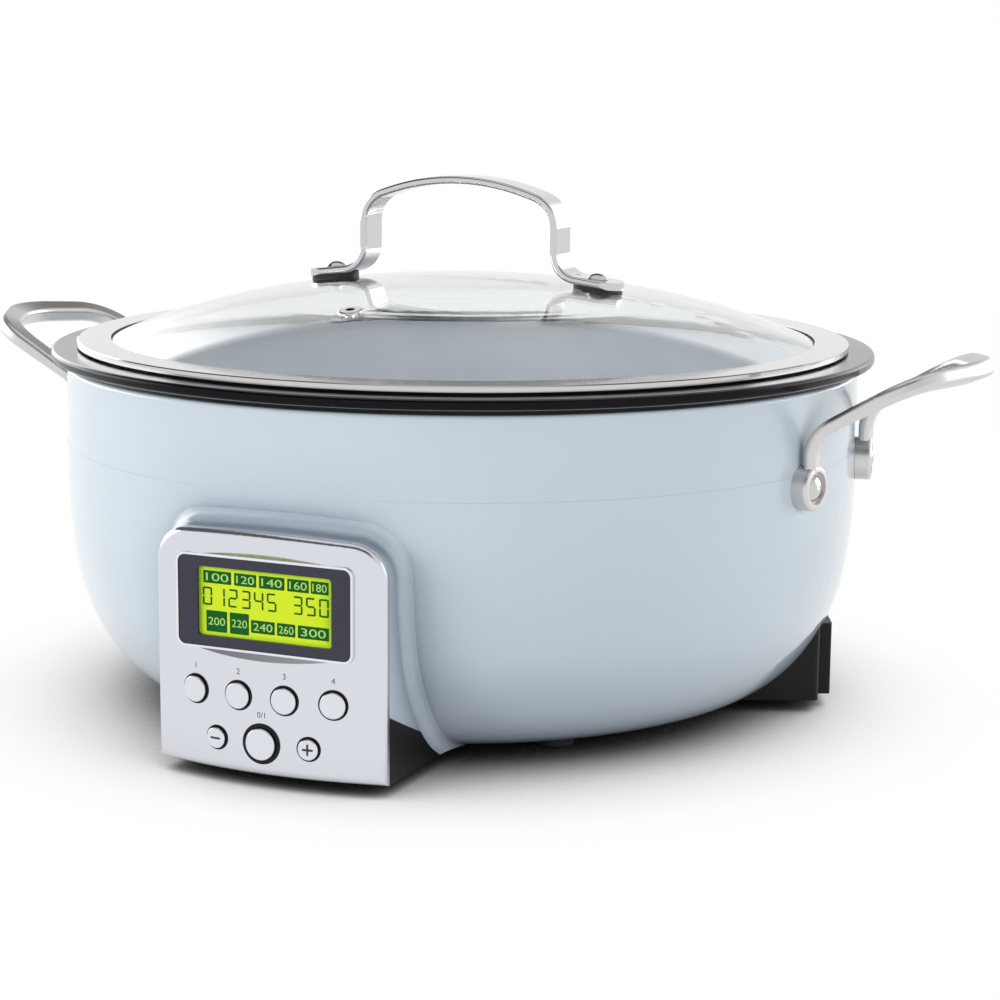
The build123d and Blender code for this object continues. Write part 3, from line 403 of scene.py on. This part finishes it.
materials = {
    "blue_paint": enamel(),
    "silver_fascia": satin_metal("silver_fascia", linear(218, 220, 227), 0.2, 1500.0, 0.01),
    "dark_plastic": surface("dark_plastic", linear(11, 11, 14), 0.0, (0.36, 0.46), 0.12, 2200.0,
                            relief=(0.2, 0.08), specular=0.25),
    "bright_trim": satin_metal("bright_trim", linear(232, 232, 236), 0.08, 900.0, 0.01),
    "slate_bezel": surface("slate_bezel", linear(46, 45, 60), 0.0, (0.25, 0.32), 0.02, 1200.0,
                           specular=0.4),
    "lcd": screen_face(),
    "light_box": surface("light_box", linear(225, 225, 220), 0.0, (0.5, 0.6), 0.02),
    "button_silver": satin_metal("button_silver", linear(222, 225, 232), 0.22, 1400.0, 0.01),
    "board_green": surface("board_green", linear(28, 92, 48), 0.0, (0.3, 0.4), 0.1, 400.0,
                           coat=0.3),
    "component_black": surface("component_black", linear(30, 30, 32), 0.0, (0.4, 0.5), 0.1),
    "terminal_white": surface("terminal_white", linear(220, 218, 210), 0.0, (0.4, 0.5), 0.03),
    "transformer_core": surface("transformer_core", linear(110, 80, 50), 0.2, (0.4, 0.6), 0.1, 700.0,
                                (1, 8, 1)),
    "zinc_steel": satin_metal("zinc_steel", linear(190, 190, 188), 0.3, 500.0, 0.05),
    "cast_pan": pan_coating(),
    "well_metal": well_metal(),
    "heater_cast": surface("heater_cast", linear(165, 165, 165), 0.9, (0.4, 0.55), 0.06, 500.0,
                           relief=(0.3, 0.2)),
    "heater_tube": surface("heater_tube", linear(120, 108, 100), 0.9, (0.35, 0.5), 0.1, 300.0),
    "sensor_metal": satin_metal("sensor_metal", linear(190, 190, 190), 0.3, 400.0, 0.03),
    "polished_steel": satin_metal("polished_steel", linear(206, 204, 203), 0.1, 900.0, 0.015),
    "black_rubber": surface("black_rubber", linear(24, 24, 26), 0.0, (0.5, 0.6), 0.1, 900.0,
                            relief=(0.15, 0.1)),
    "clear_glass": clear_glass(),
}
cast_steel = satin_metal("cast_steel", linear(214, 212, 211), 0.34, 900.0, 0.02)
print_green = surface("print_green", linear(4, 86, 24), 0.0, (0.35, 0.4), 0.05, 900.0, specular=0.2)
print_light = surface("print_light", linear(176, 220, 110), 0.0, (0.35, 0.4), 0.03, 900.0)
print_dark = surface("print_dark", linear(52, 50, 54), 0.0, (0.4, 0.5), 0.05, 1500.0)


def dress_nodes():
    """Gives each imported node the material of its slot, and the side handles their satin cast steel."""
    slots = {row["node"]: row["material_slot"] for row in frame["record"]["subparts"]}
    for name, node in frame["nodes"].items():
        node.data.materials.clear()
        made = cast_steel if name.startswith("side_handle") else materials[slots[name]]
        node.data.materials.append(made)


def add_piece(name, mesh, material, body):
    """New piece from a mesh, riding on a body."""
    mesh.materials.clear()
    mesh.materials.append(material)
    made = bpy.data.objects.new(name, mesh)
    bpy.context.scene.collection.objects.link(made)
    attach(made, body)
    return made


def prisms(name, outlines, thickness):
    """Mesh of flat prisms on the X-Z plane, their faces towards -Y, from outlines of (x, z) points."""
    form = bmesh.new()
    for outline in outlines:
        front = [form.verts.new((x, -thickness, z)) for x, z in outline]
        back = [form.verts.new((x, 0, z)) for x, z in outline]
        form.faces.new(front)
        form.faces.new(back[::-1])
        for i in range(len(outline)):
            j = (i + 1) % len(outline)
            form.faces.new((front[j], front[i], back[i], back[j]))
    bmesh.ops.recalc_face_normals(form, faces=form.faces)
    mesh = bpy.data.meshes.new(name)
    form.to_mesh(mesh)
    form.free()
    return mesh


def rounded(x_span, z_span, radius, steps=4):
    """Outline of a rectangle with rounded corners, in metres from millimetres."""
    (x0, x1), (z0, z1) = x_span, z_span
    corners = [(x1 - radius, z1 - radius, 0), (x0 + radius, z1 - radius, 90),
               (x0 + radius, z0 + radius, 180), (x1 - radius, z0 + radius, 270)]
    points = []
    for x, z, start in corners:
        for i in range(steps + 1):
            turn = math.radians(start + 90 * i / steps)
            points.append(((x + radius * math.cos(turn)) * mm, (z + radius * math.sin(turn)) * mm))
    return points


def text_mesh(text, width, height, thickness):
    """Mesh of a text on the X-Z plane, fitted to a width and height, its face towards -Y."""
    curve = bpy.data.curves.new("text", "FONT")
    curve.body = text
    curve.extrude = 0.5  # any depth does, because the points are fitted to the thickness below
    source = bpy.data.objects.new("text", curve)
    bpy.context.scene.collection.objects.link(source)
    bpy.context.view_layer.update()
    mesh = bpy.data.meshes.new_from_object(source.evaluated_get(bpy.context.evaluated_depsgraph_get()))
    bpy.data.objects.remove(source)
    places = [v.co.copy() for v in mesh.vertices]
    low = [min(p[i] for p in places) for i in range(3)]
    high = [max(p[i] for p in places) for i in range(3)]
    scale_z = height / (high[1] - low[1])
    scale_x = width / (high[0] - low[0]) if width else scale_z
    for vertex, p in zip(mesh.vertices, places):
        x = (p.x - (low[0] + high[0]) / 2) * scale_x
        z = (p.y - (low[1] + high[1]) / 2) * scale_z
        vertex.co = (x, -thickness * (p.z - low[2]) / (high[2] - low[2]), z)
    return mesh


def joined(name, meshes):
    """One mesh from pairs of a mesh and the function that moves its points."""
    form = bmesh.new()
    for mesh, move in meshes:
        for vertex in mesh.vertices:
            vertex.co = move(vertex.co)
        form.from_mesh(mesh)
    made = bpy.data.meshes.new(name)
    form.to_mesh(made)
    form.free()
    return made


def on_screen(depth=0.0, x=0.0, z=0.0):
    """Move from the X-Z plane to the screen's face."""
    return lambda p: Vector((p.x + x, p.y + screen_y - depth, p.z + screen_z + z))


def on_pod(turn, z):
    """Move from the X-Z plane to the pod's round face."""
    def move(p):
        angle = turn + p.x / pod_r
        reach = pod_r - p.y
        return Vector((reach * math.sin(angle), -reach * math.cos(angle), p.z + z))
    return move


def segment_outlines(character, left):
    """Outlines of a seven-segment digit's lit bars."""
    low, high = digit_z
    middle = (low + high) / 2
    half, gap = digit_stroke / 2, digit_gap
    x0, x1 = left + half, left + digit_w - half
    bars = {
        "a": ((x0 + gap, x1 - gap), (high - digit_stroke, high)),
        "g": ((x0 + gap, x1 - gap), (middle - half, middle + half)),
        "d": ((x0 + gap, x1 - gap), (low, low + digit_stroke)),
        "f": ((x0 - half, x0 + half), (middle + gap, high - gap)),
        "b": ((x1 - half, x1 + half), (middle + gap, high - gap)),
        "e": ((x0 - half, x0 + half), (low + gap, middle - gap)),
        "c": ((x1 - half, x1 + half), (low + gap, middle - gap)),
    }
    return [rounded(*bars[s], digit_stroke / 5, 2) for s in segments_of.get(character, "")]


def screen_print():
    """Blocks with plain numbers and a line of digits on the screen."""
    blocks = [(span, block_upper_z) for span in block_upper]
    blocks += [(span, block_tall_z) for span in block_tall]
    blocks += [(span, block_lower_z) for span in block_lower]
    plates = prisms("screen_blocks", [rounded(*block, block_round) for block in blocks], print_t)
    plates = joined("screen_blocks", [(plates, on_screen())])
    add_piece("screen_blocks", plates, print_green, "base")
    texts = []
    for text, ((x0, x1), (z0, z1)) in zip(block_numbers, blocks):
        width = (x1 - x0) * number_width_share * mm
        height = (block_upper_z[1] - block_upper_z[0]) * number_height_share * mm
        mesh = text_mesh(text, width, height, print_t)
        texts.append((mesh, on_screen(print_t, (x0 + x1) / 2 * mm, (z0 + z1) / 2 * mm)))
    add_piece("screen_block_numbers", joined("screen_block_numbers", texts), print_light, "base")
    bars = []
    for index, character in enumerate(digits_shown):
        bars += segment_outlines(character, digit_left + digit_pitch * index)
    digits = joined("screen_digits", [(prisms("screen_digits", bars, print_t), on_screen())])
    add_piece("screen_digits", digits, print_green, "base")


def button_place(name):
    """Angle of a button round the pod and its height."""
    low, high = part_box(name)
    joint = next(j for j in frame["record"]["behaviour"]["joints"] if j["child"] == name + "_body")
    x, y, z = joint["axis"]
    return math.atan2(-x, y), (low[2] + high[2]) / 2


def button_labels():
    """Plain numbers printed over the buttons."""
    texts = []
    for name, text in labels.items():
        turn, z = button_place(name)
        rise = start_label_rise if name == "button_start" else label_rise
        texts.append((text_mesh(text, None, label_h * mm, label_t * mm), on_pod(turn, z + rise * mm)))
    add_piece("button_labels", joined("button_labels", texts), print_dark, "base")


def sign_inlays():
    """Dark inlays in the grooves of the plus and minus buttons."""
    half_l, half_s = sign_length / 2, sign_stroke / 2
    bar = rounded((-half_l, half_l), (-half_s, half_s), half_s / 2)
    post = rounded((-half_s, half_s), (-half_l, half_l), half_s / 2)
    for name, outlines in (("button_minus", [bar]), ("button_plus", [bar, post])):
        turn, z = button_place(name)
        mesh = prisms(name + "_inlay", outlines, print_t)
        add_piece(name + "_inlay", joined(name + "_inlay", [(mesh, on_button(turn, z))]), print_dark,
                  name + "_body")


def on_button(turn, z):
    """Move from the X-Z plane to the bottom of the groove in a button's flat cap."""
    def move(p):
        reach = pod_r + (button_proud - sign_depth) * mm + sign_sunk * mm - p.y
        return Vector((reach * math.sin(turn) + p.x * math.cos(turn),
                       -reach * math.cos(turn) + p.x * math.sin(turn), p.z + z))
    return move


def make_camera():
    """Camera at the photograph's place."""
    turn = math.radians(camera_azimuth)
    rise = math.radians(camera_elevation)
    roll = math.radians(camera_roll)
    back = Vector((math.sin(turn) * math.cos(rise), -math.cos(turn) * math.cos(rise), math.sin(rise)))
    right = Vector((math.cos(turn), math.sin(turn), 0))
    up = back.cross(right)
    rolled_right = math.cos(roll) * right + math.sin(roll) * up
    rolled_up = -math.sin(roll) * right + math.cos(roll) * up
    data = bpy.data.cameras.new("camera")
    data.lens = camera_lens
    data.sensor_width = camera_sensor
    data.shift_x, data.shift_y = camera_shift
    data.clip_start = camera_near
    made = bpy.data.objects.new("camera", data)
    bpy.context.scene.collection.objects.link(made)
    turned = Matrix((rolled_right, rolled_up, back)).transposed().to_4x4()
    made.matrix_world = Matrix.Translation(camera_place) @ turned
    bpy.context.scene.camera = made


def area_light(name, place, size, energy):
    """Soft square light that points at the object and doesn't show in its gloss."""
    data = bpy.data.lights.new(name, "AREA")
    data.size = size
    data.energy = energy
    made = bpy.data.objects.new(name, data)
    bpy.context.scene.collection.objects.link(made)
    made.location = place
    made.visible_glossy = False
    made.rotation_mode = "QUATERNION"
    made.rotation_quaternion = (Vector(lamp_target) - Vector(place)).to_track_quat("-Z", "Y")


def seen(tree):
    """1 for rays from the camera, from gloss and through glass."""
    path = tree.add("LightPath").outputs
    either = tree.math("MAXIMUM", path["Is Camera Ray"], path["Is Glossy Ray"])
    return tree.math("MAXIMUM", either, path["Is Transmission Ray"])


def make_floor():
    """Pale floor with the object's shadow painted in from occlusion, white around it."""
    mesh = bpy.data.meshes.new("floor")
    corners = [(-1, -1), (1, -1), (1, 1), (-1, 1)]
    mesh.from_pydata([(x * floor_half, y * floor_half, 0) for x, y in corners], [], [(0, 1, 2, 3)])
    floor = bpy.data.objects.new("floor", mesh)
    bpy.context.scene.collection.objects.link(floor)
    made, tree, shader = new_material("floor")
    tree.nodes.remove(shader)
    plain = tree.add("BsdfDiffuse", Color=floor_tint)
    # Painted shadow: what the camera, gloss and glass see glows white, dimmed by occlusion near the
    # object
    occlusion = tree.add("AmbientOcclusion", Distance=painted_shadow_reach)
    occlusion.samples = painted_shadow_samples
    white = tree.step(occlusion.outputs["AO"], *painted_shadow_range)
    shown = tree.add("Emission", Color=(1, 1, 1, 1), Strength=white).outputs["Emission"]
    surface_out = tree.mix(seen(tree), plain.outputs["BSDF"], shown)
    tree.links.new(surface_out, tree.nodes["Material Output"].inputs["Surface"])
    mesh.materials.append(made)


def make_world():
    """White walls under a dim ceiling, with bright side panels; the camera sees plain white."""
    world = bpy.data.worlds.new("world")
    bpy.context.scene.world = world
    world.use_nodes = True
    tree = Nodes(world.node_tree)
    direction = tree.add("TexCoord").outputs["Generated"]
    turn = math.radians(wall_turn)
    ahead = tree.vector("DOT_PRODUCT", direction, (-math.sin(turn), math.cos(turn), 0))
    aside = tree.vector("DOT_PRODUCT", direction, (math.cos(turn), math.sin(turn), 0))
    reach = tree.math("MAXIMUM", tree.math("ABSOLUTE", ahead), tree.math("ABSOLUTE", aside))
    slope = tree.math("DIVIDE", tree.parts(direction)[2], tree.math("MAXIMUM", reach, least_reach))
    path = tree.add("LightPath").outputs
    behind = tree.step(ahead, *panel_ahead)
    left = tree.step(tree.math("MULTIPLY", aside, -1.0), *left_panel)
    sides = tree.math("MAXIMUM", left, tree.step(aside, *right_panel))
    panel = tree.math("MULTIPLY", sides, behind)
    wall = tree.math("ADD", 1.0, tree.math("MULTIPLY", panel, panel_light - 1))
    opened = tree.math("MAXIMUM", tree.step(slope, *top_slope), tree.step(aside, *open_side))
    top = tree.math("MULTIPLY", opened, path["Is Glossy Ray"])
    over = tree.math("ADD", ceiling_light, tree.math("MULTIPLY", top, top_light - ceiling_light))
    ceiling = tree.step(slope, wall_slope, wall_slope + wall_edge)
    below = tree.math("MULTIPLY", wall, tree.math("SUBTRACT", 1.0, ceiling))
    level = tree.math("ADD", below, tree.math("MULTIPLY", over, ceiling))
    room = tree.nodes["Background"]
    tree.set(room, "Color", (1, 1, 1, 1))
    tree.set(room, "Strength", level)
    white = tree.add("Background", Color=(1, 1, 1, 1), Strength=1.0)
    mixed = tree.mix(path["Is Camera Ray"], room.outputs["Background"], white.outputs["Background"])
    tree.links.new(mixed, tree.nodes["World Output"].inputs["Surface"])


scene = bpy.context.scene
scene.view_settings.view_transform = "Standard"

make_camera()
dress_nodes()
screen_print()
button_labels()
sign_inlays()
make_floor()
make_world()
area_light("key", key_place, key_size, key_light)
area_light("fill", fill_place, fill_size, fill_light)
